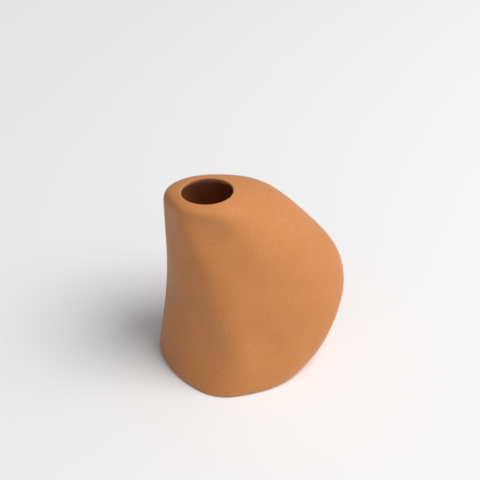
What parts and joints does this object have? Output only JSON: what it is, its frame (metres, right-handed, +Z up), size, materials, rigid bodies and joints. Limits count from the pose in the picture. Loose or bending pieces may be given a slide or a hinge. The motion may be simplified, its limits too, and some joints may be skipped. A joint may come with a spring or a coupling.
{
  "type": "bud vase",
  "caption": "Small matte terracotta bud vase, a lopsided pebble form with a ridged front, a belly swelling to the right and one oval mouth near the top left",
  "frame": {"origin": "centre of the vase's bounding box in plan, on the surface it stands on", "axes": "+Z up along the mouth's height, +X to the vase's right seen from its front, which faces -Y, and +Y to its back"},
  "size_m": [0.1084, 0.0862, 0.11],
  "materials": {
    "clay_body": "matte"
  },
  "bodies": {
    "root": {"vase_body": "clay_body"}
  },
  "joints": []
}
